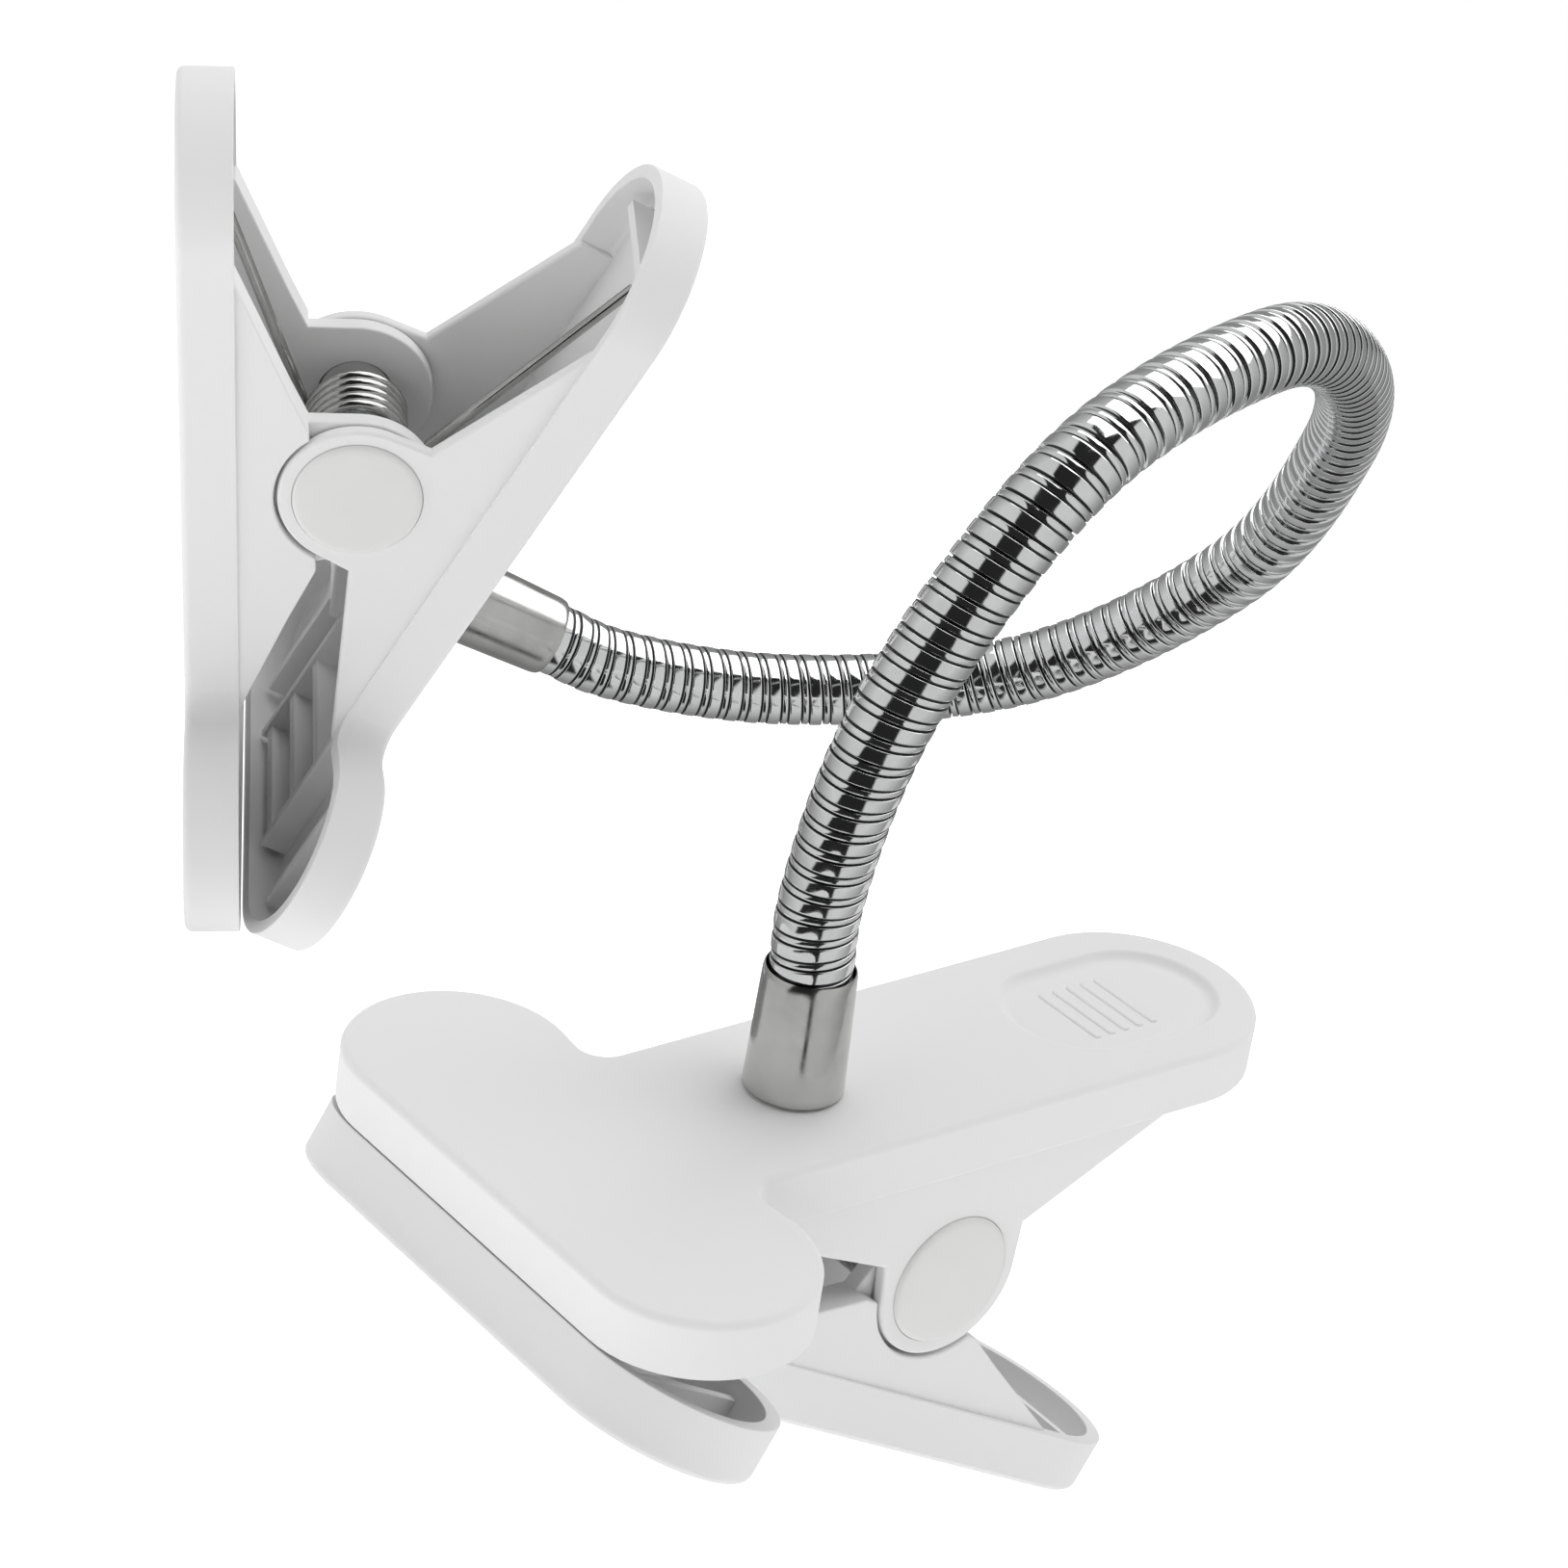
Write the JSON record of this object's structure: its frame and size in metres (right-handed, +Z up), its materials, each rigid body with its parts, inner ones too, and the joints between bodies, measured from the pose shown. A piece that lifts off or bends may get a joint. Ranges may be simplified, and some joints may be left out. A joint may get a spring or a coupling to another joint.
{
  "type": "double clip gooseneck holder",
  "caption": "Flexible chromed gooseneck arm with a sprung white plastic clip screwed to each end.",
  "frame": {"origin": "middle of the object's footprint, on the surface that it stands on", "axes": "+Z up; +X along clip A from its head to its handles; +Y from clip A towards clip B"},
  "size_m": [0.1316, 0.1774, 0.1276],
  "materials": {
    "clip_plastic": "satin moulded off-white plastic",
    "hose_chrome": "bright chromed strip-wound hose",
    "ferrule_plating": "bright nickel plating, slightly softer than the hose",
    "spring_steel": "bright drawn spring wire",
    "plated_steel": "zinc plated steel",
    "core_wire": "soft drawn wire"
  },
  "bodies": {
    "clip_a_base": {"clip_a_lower_jaw": "clip_plastic", "clip_a_pivot_pin": "plated_steel", "clip_a_pivot_cap_right": "clip_plastic", "clip_a_pivot_cap_left": "clip_plastic", "clip_a_torsion_spring": "spring_steel"},
    "clip_a_top": {"clip_a_upper_jaw": "clip_plastic", "clip_a_ferrule": "ferrule_plating", "clip_a_hose_end_plug": "plated_steel", "clip_a_lock_washer": "plated_steel", "clip_a_hex_nut": "plated_steel", "hose_stretch_1": "hose_chrome", "core_wire_1": "core_wire"},
    "arm_link_1": {"hose_stretch_2": "hose_chrome", "core_wire_2": "core_wire"},
    "arm_link_2": {"hose_stretch_3": "hose_chrome", "core_wire_3": "core_wire"},
    "arm_link_3": {"hose_stretch_4": "hose_chrome", "core_wire_4": "core_wire"},
    "arm_link_4": {"hose_stretch_5": "hose_chrome", "core_wire_5": "core_wire"},
    "arm_link_5": {"hose_stretch_6": "hose_chrome", "core_wire_6": "core_wire"},
    "arm_link_6": {"hose_stretch_7": "hose_chrome", "core_wire_7": "core_wire"},
    "arm_link_7": {"hose_stretch_8": "hose_chrome", "core_wire_8": "core_wire"},
    "clip_b_top": {"clip_b_upper_jaw": "clip_plastic", "clip_b_ferrule": "ferrule_plating", "clip_b_hose_end_plug": "plated_steel", "clip_b_lock_washer": "plated_steel", "clip_b_hex_nut": "plated_steel", "hose_stretch_9": "hose_chrome", "core_wire_9": "core_wire"},
    "clip_b_base": {"clip_b_lower_jaw": "clip_plastic", "clip_b_pivot_pin": "plated_steel", "clip_b_pivot_cap_right": "clip_plastic", "clip_b_pivot_cap_left": "clip_plastic", "clip_b_torsion_spring": "spring_steel"}
  },
  "joints": [
    {"name": "clip_a_jaw", "type": "hinge", "parent": "clip_a_base", "child": "clip_a_top", "pos_m": [0.00599, -0.05576, 0.02], "axis": [0, 1, 0], "range_deg": [0, 48], "stiffness_Nm_per_rad": 0.54, "springref_deg": -47.56, "deforming": ["clip_a_torsion_spring"]},
    {"name": "arm_bend_1", "type": "hinge", "parent": "clip_a_top", "child": "arm_link_1", "pos_m": [-0.03047, -0.05693, 0.05875], "axis": [0.203, 0.9471, 0.2484], "range_deg": [-25, 25]},
    {"name": "arm_bend_2", "type": "hinge", "parent": "arm_link_1", "child": "arm_link_2", "pos_m": [-0.03444, -0.06158, 0.09225], "axis": [-0.9294, -0.348, 0.123], "range_deg": [-25, 25]},
    {"name": "arm_bend_3", "type": "hinge", "parent": "arm_link_2", "child": "arm_link_3", "pos_m": [-0.01367, -0.05781, 0.1177], "axis": [-0.4399, 0.8332, 0.335], "range_deg": [-25, 25]},
    {"name": "arm_bend_4", "type": "hinge", "parent": "arm_link_3", "child": "arm_link_4", "pos_m": [0.01709, -0.04437, 0.12302], "axis": [0.2459, -0.3403, 0.9076], "range_deg": [-25, 25]},
    {"name": "arm_bend_5", "type": "hinge", "parent": "arm_link_4", "child": "arm_link_5", "pos_m": [0.04512, -0.02662, 0.11466], "axis": [0.491, -0.8337, -0.2528], "range_deg": [-25, 25]},
    {"name": "arm_bend_6", "type": "hinge", "parent": "arm_link_5", "child": "arm_link_6", "pos_m": [0.06122, -0.00684, 0.09243], "axis": [0.9836, 0.0505, 0.1734], "range_deg": [-25, 25]},
    {"name": "arm_bend_7", "type": "hinge", "parent": "arm_link_6", "child": "arm_link_7", "pos_m": [0.05317, 0.0141, 0.06721], "axis": [-0.1056, -0.7791, -0.6179], "range_deg": [-25, 25]},
    {"name": "arm_bend_8", "type": "hinge", "parent": "arm_link_7", "child": "clip_b_top", "pos_m": [0.02732, 0.03038, 0.0518], "axis": [-0.3695, -0.1967, 0.9082], "range_deg": [-25, 25]},
    {"name": "clip_b_jaw", "type": "hinge", "parent": "clip_b_top", "child": "clip_b_base", "pos_m": [-0.02241, 0.04614, 0.06067], "axis": [0.3552, 0.8441, 0.4016], "range_deg": [0, 48], "stiffness_Nm_per_rad": 0.54, "springref_deg": -47.56, "deforming": ["clip_b_torsion_spring"]}
  ]
}
